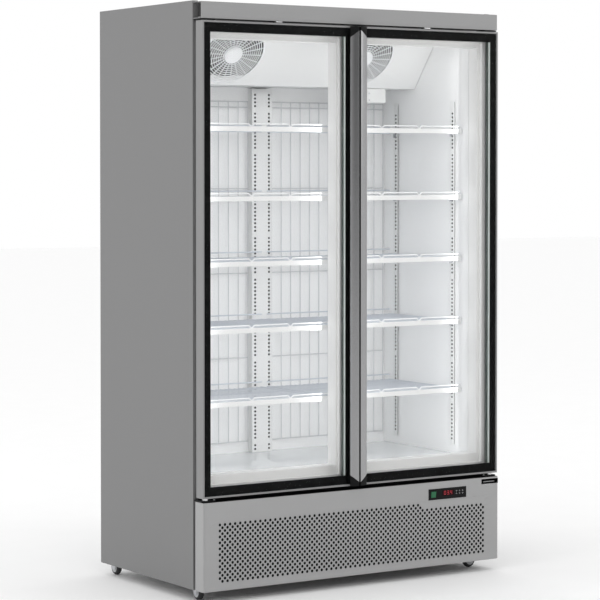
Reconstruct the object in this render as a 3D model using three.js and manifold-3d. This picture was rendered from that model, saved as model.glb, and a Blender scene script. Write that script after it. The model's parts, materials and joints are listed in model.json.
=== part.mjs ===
// Two-door upright glass door merchandiser (display refrigerator) on castors.
// Units are millimetres, +Z is up and the doors face -Y. The origin is the centre of the footprint on the floor.
import * as THREE from 'three';
import * as BufferGeometryUtils from 'three/addons/utils/BufferGeometryUtils.js';
import Module from 'manifold-3d';

const wasm = await Module();
wasm.setup();

// ---------------------------------------------------------------- driving dimensions

const GAP = 0.4;                     // clearance between touching pieces
const RAD = Math.PI / 180;

// Cabinet
const HALF_W = 600;                  // half of the overall width
const BODY_BACK = 353.5;              // rear face of the cabinet
const BODY_FRONT = -274;             // front edge of the side panels
const PANEL_BOTTOM = 40;             // lower edge of the side panels above the floor
const TOP = 1940;                    // top of the side panels
const SHEET = 2;                     // outer sheet thickness
const SIDE_FLANGE = 20;              // width of the side panel's folded front edge
const LINER_HALF_W = 550.5;          // inner face of the side walls
const LINER_BACK = 288;              // inner face of the rear wall
const FLOOR_TOP = 392;               // top of the cabinet's inner floor
const BOX_BOTTOM = 332;              // underside of the insulated box
const CEILING = 1890;                // underside of the insulated roof
const ROOF_TOP = 1936;

// White front frame around the two door openings
const FRAME_BACK = -224;
const MULLION_HALF_W = 44;
const FRAME_OPEN_BOTTOM = 406.5;
const FRAME_OPEN_TOP = 1820.5;

// Header and base covers
const HEADER_FRONT = -324;
const HEADER_BOTTOM = 1881;
const HEADER_TOP = 1935;
const BASE_FRONT = -334.5;
const BASE_DEPTH = 50;
const BASE_TOP = 327.5;
const TRAY_BOTTOM = 72;
const TRAY_SHEET = 3;
const TRAY_REAR_LIP = 60;

// Doors
const DOOR_INNER_X = 2.5;            // meeting edge, from the centre line
const DOOR_OUTER_X = 596.5;          // hinge edge, from the centre line
const DOOR_BOTTOM = 340.5;
const DOOR_TOP = 1874.4;
const DOOR_FRONT = -331;
const DOOR_BACK = -288;
const TRIM = 6;                      // aluminium edge that shows around the glass
const MEETING_TRIM = 11;             // aluminium under the handle's foot
const SIGHT_X = 31;                  // door edge to the clear glass, hinge side
const SIGHT_MEETING = 40;            // centre line to the clear glass, meeting side
const SIGHT_Z = 36;                  // door edge to the clear glass, top and bottom
const LITE = 4;                      // thickness of one glass pane
const GLAZING_DEPTH = 32;            // both panes and the space between them
const SPACER = 9;                    // width of the glazing spacer bar
const GASKET_INSET = 21;
const GASKET_WIDTH = 16;
const GASKET_BACK = -272.4;

// Door handles: full-height profiles with a finger groove under the outer lip
const HANDLE_END = 14;               // handle ridge to the door's top and bottom edge
const HANDLE_MITRE = 23;             // how much further in the outer lip ends
const HANDLE_SECTION = [             // distance from the centre line, height above the door's face
  [3, 0.9], [3, 21.6], [5, 22.6], [33, 13.6], [33, 10.4], [14, 11.6], [11, 9], [11, 0.9],
];

// Door hinges
const HINGE_X = 576.5;
const HINGE_Y = -310;
const PIN_R = 5;
const PIN_HOLE_R = 5.6;
const PIN_DEPTH = 18;
const BRACKET_T = 4;

// Control panel and rocker switch in the base cover
const CONTROL_X = [296.5, 457.5];
const CONTROL_Z = [266.5, 304];
const BEZEL = 1.8;
const CONTROL_BODY_DEPTH = 42;
const ROCKER_X = 318;
const ROCKER_Z = 285.2;
const ROCKER_W = 20;
const ROCKER_H = 21;
const ROCKER_TILT = 7;               // degrees from the panel's plane to either side

// Interior
const SHELF_LEVELS = [625, 866, 1087, 1303, 1534];   // middle of each shelf's front strip
const SHELF_FRONT = -192.5;
const SHELF_BACK = 247.5;
const SHELF_OUTER_X = 545;
const SHELF_INNER_X = 12;
const STRIP_H = 21;
const SHELF_T = 6;
const SHELF_BARS = 9;
const STANDARD_W = 24;
const STANDARD_T = 4;
const STANDARD_FRONT_Y = -137;
const STANDARD_REAR_Y = 206;
const STANDARD_Z = [420, 1640];
const UPRIGHT_HALF_W = 42;
const UPRIGHT_FRONT = 261;
const GUARD_Y = [272, 278];
const GUARD_Z = [430, 1640];
const GUARD_WIRES = 9;

// Evaporator compartment under the ceiling: its cover slopes down and back
const COVER_TOP_Y = -60;
const COVER_LOW = [94.5, 1688];      // y and z of the cover's lower front edge
const COVER_SHEET = 2;
const FAN_X = 270;
const FAN_HOLE_R = 95;
const FAN_GUARD_R = 122;
const FAN_BLADE_R = 78;
const FAN_MOTOR_R = 28;
const COIL_X = 430;
const COIL_Y = [150, 240];
const COIL_Z = [1720, 1860];

// Machine compartment
const COMPRESSOR_X = 330;
const COMPRESSOR_Y = 170;
const CONDENSER_X = [-420, 20];
const CONDENSER_Y = [-262, -205];
const CONDENSER_TOP = 322;
const CONDENSER_FAN_X = -200;
const CONDENSER_FAN_Y = -152;
const CONDENSER_FAN_Z = 200;
const CONDENSER_FAN_R = 82;
const CONDENSER_MOTOR_R = 30;
const FAN_BLADES = 5;

// Castors
const CASTOR_X = 561;
const CASTOR_FRONT_Y = -229.5;
const CASTOR_REAR_Y = 300;
const WHEEL_R = 25;
const WHEEL_W = 18;
const TRAIL = 12;

// ---------------------------------------------------------------- materials

const finish = (color, roughness, metalness) => () =>
  new THREE.MeshStandardMaterial({ color, roughness, metalness });
const greyPaint = finish(0x8c8c8c, 0.45, 0.2);
const frontPaint = finish(0xa0a0a0, 0.45, 0.2);
const whiteLiner = finish(0xf2f2f2, 0.4, 0);
const aluminium = finish(0xaaaaaa, 0.35, 0.9);
const glass = finish(0x1c2022, 0.05, 0);
const blackRubber = finish(0x1a1a1a, 0.8, 0);
const whiteRubber = finish(0xe4e4e2, 0.8, 0);
const blackPlastic = finish(0x161616, 0.5, 0);
const steel = finish(0xb8b8b8, 0.3, 0.9);
const greenPlastic = finish(0x18a04a, 0.3, 0);
const castIron = finish(0x202020, 0.6, 0.5);

// ---------------------------------------------------------------- geometry helpers

function box(x0, x1, y0, y1, z0, z1) {
  const shape = new THREE.BoxGeometry(x1 - x0, y1 - y0, z1 - z0);
  return shape.translate((x0 + x1) / 2, (y0 + y1) / 2, (z0 + z1) / 2);
}

// A closed outline of [x, y] points, raised along +Z from z0 to z1.
function prismZ(points, z0, z1) {
  const shape = new THREE.Shape(points.map(([x, y]) => new THREE.Vector2(x, y)));
  const solid = new THREE.ExtrudeGeometry(shape, { depth: z1 - z0, bevelEnabled: false });
  return solid.translate(0, 0, z0);
}

// A closed outline of [y, z] points, raised along +X from x0 to x1.
function prismX(points, x0, x1) {
  const turn = new THREE.Matrix4().makeBasis(
    new THREE.Vector3(0, 1, 0), new THREE.Vector3(0, 0, 1), new THREE.Vector3(1, 0, 0));
  return prismZ(points, x0, x1).applyMatrix4(turn);
}

// A solid of revolution about Z from [radius, z] points that start and end on the axis.
function turned(points, segments) {
  const profile = points.map(([r, z]) => new THREE.Vector2(r, z));
  return new THREE.LatheGeometry(profile, segments).rotateX(Math.PI / 2);
}

const disc = (radius, z0, z1, segments) =>
  turned([[0, z0], [radius, z0], [radius, z1], [0, z1]], segments);

// A band of revolution about Z with a rectangular section.
const band = (inner, outer, z0, z1, segments) =>
  turned([[inner, z0], [outer, z0], [outer, z1], [inner, z1], [inner, z0]], segments);

function toSolid(geometry) {
  const bare = geometry.clone();
  bare.deleteAttribute('normal');
  bare.deleteAttribute('uv');
  const merged = BufferGeometryUtils.mergeVertices(bare, 1e-4);
  return new wasm.Manifold(new wasm.Mesh({
    numProp: 3,
    vertProperties: new Float32Array(merged.attributes.position.array),
    triVerts: new Uint32Array(merged.index.array),
  }));
}

function fromSolid(solid) {
  const mesh = solid.getMesh();
  const geometry = new THREE.BufferGeometry();
  geometry.setAttribute('position', new THREE.BufferAttribute(new Float32Array(mesh.vertProperties), 3));
  geometry.setIndex(new THREE.BufferAttribute(new Uint32Array(mesh.triVerts), 1));
  return geometry;
}

const join = (...pieces) =>
  fromSolid(pieces.map(toSolid).reduce((whole, piece) => whole.add(piece)));
const cut = (body, ...tools) =>
  fromSolid([body, ...tools].map(toSolid).reduce((whole, tool) => whole.subtract(tool)));

const model = new THREE.Group();

function place(name, geometry, material, parent = model) {
  const mesh = new THREE.Mesh(geometry, material());
  mesh.name = name;
  parent.add(mesh);
  return mesh;
}

const SIDES = [['left', -1], ['right', 1]];

// Reads a piece drawn on the right-hand side (positive x) as the piece of either side.
const span = (side, low, high) => (side > 0 ? [low, high] : [-high, -low]);
const sided = (side, points) => (side > 0 ? points : points.map(([x, y]) => [-x, y]).reverse());

// ---------------------------------------------------------------- cabinet

function addSidePanel(name, side) {
  const outline = [
    [HALF_W, BODY_FRONT], [HALF_W, BODY_BACK], [HALF_W - SHEET, BODY_BACK],
    [HALF_W - SHEET, BODY_FRONT + SHEET], [HALF_W - SIDE_FLANGE, BODY_FRONT + SHEET],
    [HALF_W - SIDE_FLANGE, BODY_FRONT],
  ];
  place(`side_panel_${name}`, prismZ(sided(side, outline), PANEL_BOTTOM, TOP), greyPaint);
}

function addInsulatedBox() {
  const outerX = HALF_W - SHEET - GAP;
  const front = FRAME_BACK + GAP;
  SIDES.forEach(([name, side]) => place(`insulated_wall_${name}`,
    box(...span(side, LINER_HALF_W, outerX), front, LINER_BACK - GAP, BOX_BOTTOM, CEILING - GAP), whiteLiner));
  place('insulated_rear_wall', box(-outerX, outerX, LINER_BACK, BODY_BACK, BOX_BOTTOM, CEILING - GAP), whiteLiner);
  const floorX = LINER_HALF_W - GAP;
  place('insulated_floor', box(-floorX, floorX, front, LINER_BACK - GAP, BOX_BOTTOM, FLOOR_TOP), whiteLiner);
  place('insulated_roof', box(-outerX, outerX, BODY_FRONT + SHEET + GAP, BODY_BACK, CEILING, ROOF_TOP), greyPaint);
}

function addFrontFrame() {
  const outerX = HALF_W - SHEET - GAP;
  const front = BODY_FRONT + SHEET + GAP;
  const openings = SIDES.map(([, side]) => box(...span(side, MULLION_HALF_W, LINER_HALF_W),
    front - 1, FRAME_BACK + 1, FRAME_OPEN_BOTTOM, FRAME_OPEN_TOP));
  const frame = box(-outerX, outerX, front, FRAME_BACK, BOX_BOTTOM, CEILING - GAP);
  place('front_frame', cut(frame, ...openings), whiteLiner);
}

function addHeader() {
  const back = BODY_FRONT - GAP;
  const section = [
    [back, HEADER_BOTTOM], [back, HEADER_BOTTOM + SHEET], [HEADER_FRONT + SHEET, HEADER_BOTTOM + SHEET],
    [HEADER_FRONT + SHEET, HEADER_TOP - SHEET], [back, HEADER_TOP - SHEET], [back, HEADER_TOP],
    [HEADER_FRONT, HEADER_TOP], [HEADER_FRONT, HEADER_BOTTOM],
  ];
  place('header_fascia', prismX(section, -HALF_W + SHEET, HALF_W - SHEET), frontPaint);
}

function addBaseCover() {
  const x = HALF_W - SHEET;
  const shell = box(-x, x, BASE_FRONT, BASE_FRONT + BASE_DEPTH, PANEL_BOTTOM, BASE_TOP);
  const hollow = box(-x + SHEET, x - SHEET, BASE_FRONT + SHEET, BASE_FRONT + BASE_DEPTH + SHEET,
    PANEL_BOTTOM - SHEET, BASE_TOP - SHEET);
  const controlHole = box(CONTROL_X[0] + 3, CONTROL_X[1] - 3, BASE_FRONT - SHEET, BASE_FRONT + 2 * SHEET,
    CONTROL_Z[0] + 3, CONTROL_Z[1] - 3);
  place('base_front_panel', cut(shell, hollow, controlHole), frontPaint);
}

// The tray carries the machine compartment. Its rear lip holds the mains lead's gland.
function addBaseTray() {
  const x = HALF_W - SHEET - GAP;
  const front = BODY_FRONT + SHEET + GAP;
  const glandX = 480;
  const glandZ = TRAY_BOTTOM + TRAY_REAR_LIP / 2;
  const glandR = 11;
  const glandHoleR = 4;
  const glandLength = 16;
  const floor = box(-x, x, front, BODY_BACK, TRAY_BOTTOM, TRAY_BOTTOM + TRAY_SHEET);
  const lip = box(-x, x, BODY_BACK - TRAY_SHEET, BODY_BACK, TRAY_BOTTOM, TRAY_BOTTOM + TRAY_REAR_LIP);
  const alongY = (piece) => piece.rotateX(Math.PI / 2).translate(glandX, BODY_BACK, glandZ);
  const gland = alongY(disc(glandR, 0, glandLength, 12));
  const hole = alongY(disc(glandHoleR, -glandLength, 2 * glandLength, 12));
  place('base_tray', cut(join(floor, lip, gland), hole), greyPaint);
}

// ---------------------------------------------------------------- interior

function addStandards() {
  SIDES.forEach(([name, side]) => {
    [['front', STANDARD_FRONT_Y], ['rear', STANDARD_REAR_Y]].forEach(([where, y]) => {
      const x = span(side, LINER_HALF_W - GAP - STANDARD_T, LINER_HALF_W - GAP);
      place(`standard_${name}_${where}`,
        box(...x, y - STANDARD_W / 2, y + STANDARD_W / 2, ...STANDARD_Z), whiteLiner);
    });
  });
  place('upright_rear_centre', box(-UPRIGHT_HALF_W, UPRIGHT_HALF_W, UPRIGHT_FRONT, LINER_BACK - GAP,
    FLOOR_TOP + GAP, COVER_LOW[1] - 2 * COVER_SHEET), whiteLiner);
  place('upright_front_centre', box(-STANDARD_W, STANDARD_W, FRAME_BACK + GAP, FRAME_BACK + GAP + 10,
    ...STANDARD_Z), whiteLiner);
}

function addWireGuards() {
  const low = UPRIGHT_HALF_W + 6;
  const high = LINER_HALF_W - 12;
  const wire = 5;
  const pitch = (high - low - wire) / (GUARD_WIRES - 1);
  const openings = Array.from({ length: GUARD_WIRES - 1 }, (_, i) => low + wire + i * pitch);
  SIDES.forEach(([name, side]) => {
    const holes = openings.map((x) => box(...span(side, x, x + pitch - wire),
      GUARD_Y[0] - 1, GUARD_Y[1] + 1, GUARD_Z[0] + 2 * wire, GUARD_Z[1] - 2 * wire));
    place(`wire_guard_${name}`, cut(box(...span(side, low, high), ...GUARD_Y, ...GUARD_Z), ...holes),
      whiteLiner);
  });
}

function shelfGrid(side) {
  const rail = 12;
  const pitch = (SHELF_OUTER_X - SHELF_INNER_X - rail) / SHELF_BARS;
  const holes = Array.from({ length: SHELF_BARS }, (_, i) => {
    const x = SHELF_INNER_X + rail + i * pitch;
    return box(...span(side, x, x + pitch - rail), SHELF_FRONT + 2 * rail, SHELF_BACK - 2 * rail,
      -SHELF_T - 1, 1);
  });
  const plate = box(...span(side, SHELF_INNER_X, SHELF_OUTER_X), SHELF_FRONT, SHELF_BACK, -SHELF_T, 0);
  const strip = box(...span(side, SHELF_INNER_X, SHELF_OUTER_X), SHELF_FRONT, SHELF_FRONT + 2 * SHEET,
    -STRIP_H + SHELF_T, SHELF_T);
  return join(cut(plate, ...holes), strip);
}

function addShelves() {
  SIDES.forEach(([name, side]) => {
    SHELF_LEVELS.forEach((z, i) => {
      const shelf = place(`shelf_${name}_${i + 1}`, shelfGrid(side), whiteLiner);
      shelf.position.z = z + STRIP_H / 2 - SHELF_T;
    });
  });
}

// The slope of the evaporator cover: a group whose +Z is the cover's outward normal, at the slope's middle.
const SLOPE_TOP = [COVER_TOP_Y, CEILING];
const SLOPE_MIDDLE = [(SLOPE_TOP[0] + COVER_LOW[0]) / 2, (SLOPE_TOP[1] + COVER_LOW[1]) / 2];
const SLOPE_TURN = Math.atan2(SLOPE_TOP[1] - COVER_LOW[1], COVER_LOW[0] - SLOPE_TOP[0]);

function slopeGroup(x) {
  const group = new THREE.Group();
  group.position.set(x, SLOPE_MIDDLE[0], SLOPE_MIDDLE[1]);
  group.rotation.x = Math.PI - SLOPE_TURN;
  model.add(group);
  return group;
}

function addEvaporator() {
  const x = LINER_HALF_W - 2;
  const [lowY, lowZ] = COVER_LOW;
  const back = LINER_BACK - GAP;
  const top = CEILING - GAP;
  const section = [
    [COVER_TOP_Y, top], [lowY, lowZ], [back, lowZ], [back, lowZ + COVER_SHEET],
    [lowY + COVER_SHEET, lowZ + COVER_SHEET], [COVER_TOP_Y + 1.6 * COVER_SHEET, top],
  ];
  const shell = prismX(section, -x, x);
  const holes = SIDES.map(([, side]) => disc(FAN_HOLE_R, -30, 30, 24)
    .rotateX(Math.PI - SLOPE_TURN).translate(side * FAN_X, ...SLOPE_MIDDLE));
  const outlet = box(-x + 60, x - 60, back - 70, back - 20, lowZ - 10, lowZ + 10);
  place('evaporator_cover', cut(shell, ...holes, outlet), whiteLiner);
  place('evaporator_coil', box(-COIL_X, COIL_X, ...COIL_Y, ...COIL_Z), aluminium);
}

// A fan rotor that turns about Z: a hub with pitched flat blades that overlap it.
function rotor(hubR, hubZ, tipR, chord, bladeZ, pitch) {
  const blade = (i) => box(hubR / 2, tipR, -chord / 2, chord / 2, -1.5, 1.5).rotateX(pitch * RAD)
    .translate(0, 0, bladeZ).rotateZ(i * 2 * Math.PI / FAN_BLADES);
  return join(disc(hubR, ...hubZ, 16), ...Array.from({ length: FAN_BLADES }, (_, i) => blade(i)));
}

// Each guard carries its fan's motor behind it, and the rotor turns behind the motor.
function addFans() {
  const plate = [GAP, GAP + 2.5];
  const spoke = 3;
  const reach = FAN_GUARD_R - 4;
  SIDES.forEach(([name, side]) => {
    const group = slopeGroup(side * FAN_X);
    const guard = join(band(FAN_HOLE_R - 4, FAN_GUARD_R, ...plate, 20), band(58, 61, ...plate, 20),
      box(-reach, reach, -spoke, spoke, ...plate), box(-spoke, spoke, -reach, reach, ...plate),
      disc(FAN_MOTOR_R, -30, plate[1], 16));
    place(`fan_guard_${name}`, guard, whiteLiner, group);
    place(`fan_blade_${name}`, rotor(FAN_MOTOR_R, [-56, -32], FAN_BLADE_R, 44, -44, 24), blackPlastic, group);
  });
}

// ---------------------------------------------------------------- doors

const DOOR_MIDDLE_Z = (DOOR_BOTTOM + DOOR_TOP) / 2;

function ring(side, inset, width, y0, y1) {
  const outer = [DOOR_INNER_X + inset, DOOR_OUTER_X - inset, DOOR_BOTTOM + inset, DOOR_TOP - inset];
  const body = box(...span(side, outer[0], outer[1]), y0, y1, outer[2], outer[3]);
  const hole = box(...span(side, outer[0] + width, outer[1] - width), y0 - 1, y1 + 1,
    outer[2] + width, outer[3] - width);
  return [body, hole];
}

function addDoorFrame(name, side) {
  const body = box(...span(side, DOOR_INNER_X, DOOR_OUTER_X), DOOR_FRONT, DOOR_BACK, DOOR_BOTTOM, DOOR_TOP);
  const glazing = box(...span(side, MEETING_TRIM, DOOR_OUTER_X - TRIM), DOOR_FRONT - 1,
    DOOR_FRONT + LITE + 2 * GAP, DOOR_BOTTOM + TRIM, DOOR_TOP - TRIM);
  const sight = box(...span(side, SIGHT_MEETING - SPACER - GAP, DOOR_OUTER_X - SIGHT_X + SPACER + GAP),
    DOOR_FRONT - 1, DOOR_BACK + 1, DOOR_BOTTOM + SIGHT_Z - SPACER - GAP, DOOR_TOP - SIGHT_Z + SPACER + GAP);
  const pins = [[DOOR_BOTTOM - 1, DOOR_BOTTOM + PIN_DEPTH], [DOOR_TOP - PIN_DEPTH, DOOR_TOP + 1]]
    .map(([z0, z1]) => disc(PIN_HOLE_R, z0, z1, 16).translate(side * HINGE_X, HINGE_Y, 0));
  place(`door_frame_${name}`, cut(body, glazing, sight, ...pins), aluminium);
}

// The sealed double glazing unit: two panes joined by a spacer frame with one small filling port.
function addDoorGlass(name, side) {
  const front = [DOOR_FRONT, DOOR_FRONT + LITE];
  const back = [DOOR_FRONT + GLAZING_DEPTH - LITE, DOOR_FRONT + GLAZING_DEPTH];
  const innerX = SIGHT_MEETING - SPACER;
  const outerX = DOOR_OUTER_X - SIGHT_X + SPACER;
  const innerZ = [DOOR_BOTTOM + SIGHT_Z - SPACER, DOOR_TOP - SIGHT_Z + SPACER];
  const frontPane = box(...span(side, MEETING_TRIM + GAP, DOOR_OUTER_X - TRIM - GAP), ...front,
    DOOR_BOTTOM + TRIM + GAP, DOOR_TOP - TRIM - GAP);
  const unit = box(...span(side, innerX, outerX), front[0], back[1], ...innerZ);
  const space = box(...span(side, innerX + SPACER, outerX - SPACER), front[1], back[0],
    innerZ[0] + SPACER, innerZ[1] - SPACER);
  const portR = 2;
  const port = disc(portR, innerZ[0] - 1, innerZ[0] + SPACER + 1, 8)
    .translate(side * (innerX + outerX) / 2, (front[1] + back[0]) / 2, 0);
  place(`door_glass_${name}`, cut(join(frontPane, unit), space, port), glass);
}

function addHandle(name, side) {
  const bottom = DOOR_BOTTOM + HANDLE_END;
  const top = DOOR_TOP - HANDLE_END;
  const outline = HANDLE_SECTION.map(([x, proud]) => [x, DOOR_FRONT - proud]);
  const handle = prismZ(sided(side, outline.reverse()), bottom, top);
  const position = handle.attributes.position;
  const ridge = HANDLE_SECTION[0][0];
  const width = HANDLE_SECTION[3][0] - ridge;
  for (let i = 0; i < position.count; i += 1) {
    const mitre = HANDLE_MITRE * (Math.abs(position.getX(i)) - ridge) / width;
    const z = position.getZ(i);
    position.setZ(i, z > DOOR_MIDDLE_Z ? z - mitre : z + mitre);
  }
  place(`door_handle_${name}`, handle, aluminium);
}

function addHinges(name, side) {
  const x = span(side, HINGE_X - 32, HALF_W - SHEET - 2);
  const pin = (z0, z1) => disc(PIN_R, z0, z1, 16).translate(side * HINGE_X, HINGE_Y, 0);
  const front = HINGE_Y - 12;
  const back = BODY_FRONT - GAP;
  const low = BASE_TOP + GAP + 1;
  const high = DOOR_TOP + 1.5;
  place(`hinge_${name}_bottom`, join(box(...x, front, back, low, low + BRACKET_T),
    pin(low + 1, DOOR_BOTTOM + PIN_DEPTH - 1)), steel);
  place(`hinge_${name}_top`, join(box(...x, front, back, high, high + BRACKET_T),
    pin(DOOR_TOP - PIN_DEPTH + 1, high + BRACKET_T - 1)), steel);
}

function addDoor(name, side) {
  addDoorFrame(name, side);
  addDoorGlass(name, side);
  place(`door_gasket_${name}`, cut(...ring(side, GASKET_INSET, GASKET_WIDTH, DOOR_BACK + GAP, GASKET_BACK)),
    whiteRubber);
  addHandle(name, side);
  addHinges(name, side);
}

// ---------------------------------------------------------------- controls

function addControls() {
  const bezel = box(...CONTROL_X, BASE_FRONT - GAP - BEZEL, BASE_FRONT - GAP, ...CONTROL_Z);
  const inset = 4;
  const body = box(CONTROL_X[0] + inset, CONTROL_X[1] - inset, BASE_FRONT - GAP - BEZEL,
    BASE_FRONT + CONTROL_BODY_DEPTH, CONTROL_Z[0] + inset, CONTROL_Z[1] - inset);
  const clear = 1;
  const pocket = box(ROCKER_X - ROCKER_W / 2 - clear, ROCKER_X + ROCKER_W / 2 + clear,
    BASE_FRONT - 3 * BEZEL, BASE_FRONT + 14, ROCKER_Z - ROCKER_H / 2 - clear, ROCKER_Z + ROCKER_H / 2 + clear);
  place('control_panel', cut(join(bezel, body), pocket), blackPlastic);

  const rocker = prismX([
    [-3.2, -ROCKER_H / 2], [6, -ROCKER_H / 2 + 2], [6, ROCKER_H / 2 - 2], [-3.2, ROCKER_H / 2], [-2.2, 0],
  ], -ROCKER_W / 2, ROCKER_W / 2);
  const switchMesh = place('rocker_switch', rocker, greenPlastic);
  switchMesh.position.set(ROCKER_X, BASE_FRONT, ROCKER_Z);
  switchMesh.rotation.x = ROCKER_TILT * RAD;
}

// ---------------------------------------------------------------- machine compartment

function addMachinery() {
  const deck = TRAY_BOTTOM + TRAY_SHEET + GAP;
  const can = turned([[0, 14], [70, 14], [84, 40], [84, 128], [66, 165], [30, 180], [0, 182]], 20)
    .translate(COMPRESSOR_X, COMPRESSOR_Y, deck);
  const feet = box(COMPRESSOR_X - 105, COMPRESSOR_X + 105, COMPRESSOR_Y - 60, COMPRESSOR_Y + 60,
    deck, deck + 16);
  place('compressor', join(can, feet), castIron);

  const block = box(...CONDENSER_X, ...CONDENSER_Y, deck, CONDENSER_TOP);
  const reach = CONDENSER_FAN_R + 12;
  const strutBack = CONDENSER_FAN_Y + 72;
  const height = [CONDENSER_FAN_Z - 12, CONDENSER_FAN_Z + 12];
  const strut = box(CONDENSER_FAN_X - reach, CONDENSER_FAN_X + reach, strutBack - 6, strutBack, ...height);
  const arms = [-1, 1].map((side) => box(...span(side, reach - 5, reach).map((x) => CONDENSER_FAN_X + x),
    CONDENSER_Y[1] - 1, strutBack, ...height));
  const motor = disc(CONDENSER_MOTOR_R, 0, 50, 16).rotateX(Math.PI / 2)
    .translate(CONDENSER_FAN_X, strutBack, CONDENSER_FAN_Z);
  place('condenser', join(block, strut, ...arms, motor), aluminium);

  const fan = place('condenser_fan_blade', rotor(CONDENSER_MOTOR_R, [-10, 16], CONDENSER_FAN_R, 46, 3, 22),
    blackPlastic);
  fan.position.set(CONDENSER_FAN_X, CONDENSER_FAN_Y, CONDENSER_FAN_Z);
  fan.rotation.x = Math.PI / 2;
}

// ---------------------------------------------------------------- castors

// Drawn with the wheel trailing along +Y, then turned about the swivel axis.
function addCastor(name, x, y, turn) {
  const group = new THREE.Group();
  group.position.set(x, y, 0);
  group.rotation.z = turn * RAD;
  model.add(group);
  const plateTop = TRAY_BOTTOM - GAP;
  const legX = WHEEL_W / 2 + 1.2;
  const legT = 2.5;
  const legs = [-1, 1].map((side) => prismX(
    [[TRAIL - 8, WHEEL_R - 6], [TRAIL + 8, WHEEL_R - 6], [TRAIL + 12, 56], [-14, 56]],
    ...span(side, legX, legX + legT)));
  const yoke = box(-legX - legT, legX + legT, -14, TRAIL + 12, 53, 56);
  const swivel = turned([[0, 55], [16, 55], [20, 62], [20, plateTop], [0, plateTop]], 16);
  place(`castor_fork_${name}`, join(yoke, ...legs, swivel), steel, group);
  const axle = disc(3, -legX + 0.5, legX - 0.5, 8);
  const tyre = turned([
    [0, -WHEEL_W / 2], [WHEEL_R - 4, -WHEEL_W / 2], [WHEEL_R, -WHEEL_W / 4], [WHEEL_R, WHEEL_W / 4],
    [WHEEL_R - 4, WHEEL_W / 2], [0, WHEEL_W / 2],
  ], 24);
  const wheel = place(`castor_wheel_${name}`, join(tyre, axle), blackRubber, group);
  wheel.rotation.y = Math.PI / 2;
  wheel.position.set(0, TRAIL, WHEEL_R);
}

// ---------------------------------------------------------------- assembly

SIDES.forEach(([name, side]) => {
  addSidePanel(name, side);
  addDoor(name, side);
});
addInsulatedBox();
addFrontFrame();
addHeader();
addBaseCover();
addBaseTray();
addStandards();
addWireGuards();
addShelves();
addEvaporator();
addFans();
addControls();
addMachinery();
addCastor('front_left', -CASTOR_X, CASTOR_FRONT_Y, 180);
addCastor('front_right', CASTOR_X, CASTOR_FRONT_Y, 90);
addCastor('rear_left', -CASTOR_X, CASTOR_REAR_Y, 0);
addCastor('rear_right', CASTOR_X, CASTOR_REAR_Y, 0);

export default model;
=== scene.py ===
"""Looks for the two-door glass door merchandiser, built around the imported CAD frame. Units are metres."""
import math

import bmesh
import bpy
from mathutils import Matrix, Vector
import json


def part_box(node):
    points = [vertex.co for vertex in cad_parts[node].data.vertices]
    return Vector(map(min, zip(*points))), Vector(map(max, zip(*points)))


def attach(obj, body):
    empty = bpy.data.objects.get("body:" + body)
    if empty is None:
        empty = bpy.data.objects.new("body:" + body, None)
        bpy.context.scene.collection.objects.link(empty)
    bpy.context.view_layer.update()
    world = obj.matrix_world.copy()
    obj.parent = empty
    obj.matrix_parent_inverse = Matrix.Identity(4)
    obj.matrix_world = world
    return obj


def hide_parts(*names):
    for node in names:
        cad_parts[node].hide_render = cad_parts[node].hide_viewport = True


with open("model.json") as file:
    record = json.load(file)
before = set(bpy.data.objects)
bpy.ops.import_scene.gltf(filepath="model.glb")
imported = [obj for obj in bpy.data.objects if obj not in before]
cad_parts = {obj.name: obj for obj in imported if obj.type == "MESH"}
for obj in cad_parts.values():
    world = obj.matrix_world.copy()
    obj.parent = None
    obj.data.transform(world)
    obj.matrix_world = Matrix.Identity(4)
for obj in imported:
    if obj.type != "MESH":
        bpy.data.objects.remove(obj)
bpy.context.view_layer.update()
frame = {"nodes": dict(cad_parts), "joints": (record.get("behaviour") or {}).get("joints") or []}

MM = 0.001
SIDES = (("left", -1), ("right", 1))
CASTORS = ("front_left", "front_right", "rear_left", "rear_right")
SHELVES = range(1, 6)
REAR_SKIN_Y = 0.345               # behind this the rear wall is its grey outer sheet

# Glazing, in metres from the door's edges or the centre line
LITE = 4 * MM                     # pane thickness
GLAZING_DEPTH = 32 * MM           # front face of the outer pane to back face of the inner pane
TRIM = 6 * MM                     # aluminium edge around the outer pane
MEETING_TRIM = 11 * MM            # centre line to the outer pane
BORDER_HINGE = 31 * MM            # printed border: door edge to the clear glass
BORDER_MEETING = 42 * MM
BORDER_Z = 36 * MM
SPACER_W = 9 * MM
SPACER_SHARE = 0.42               # of the gap between the panes, for the light front part of the spacer

# Perforated field of the base cover
HOLE_R = 5.0 * MM
PITCH = 19.24 * MM
FIRST_HOLE = (-535.5 * MM, 253.4 * MM)   # x and z of the upper left hole
HOLE_COLUMNS = 56
HOLE_ROWS = 10
SHORT_FROM_COLUMN = 42            # under the controller the field loses its top pitch
SHEET = 1.2 * MM

# Shelves, uprights and guards
SLOT_PITCH = 13.39 * MM
SLOT_H = 6.6 * MM
SLOT_W = 8 * MM
WALL_SLOT_W = 9 * MM
SLOT_GROUP = 11                   # every eleventh slot is left out
BLANK_AT = 0.4305                 # height of the lowest one left out
WIRE_R = 1.5 * MM
RAIL_R = 2.6 * MM
SHELF_WIRE_PITCH = 19 * MM
STOP_R = 2.3 * MM                 # product stop wire above the front strip
STOP_RISE = 3.6 * MM              # its centre above the shelf's CAD box
STRIP_DROP = 5 * MM               # top of the front strip below that box
DECK_DROP = 10 * MM
DIPS = {"left": (-0.325, -0.172), "right": (0.202, 0.361)}
GUARD_PITCH = 42 * MM
GUARD_WIRE_R = (2 * MM, 2.2 * MM)  # uprights, level wires
GUARD_STEP = 0.3                  # between the level wires from the bottom
GUARD_LEVELS = 3
CHANNEL_SHEET = 1.5 * MM
REAR_SLOTS_X = (-29 * MM, 29 * MM)
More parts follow.
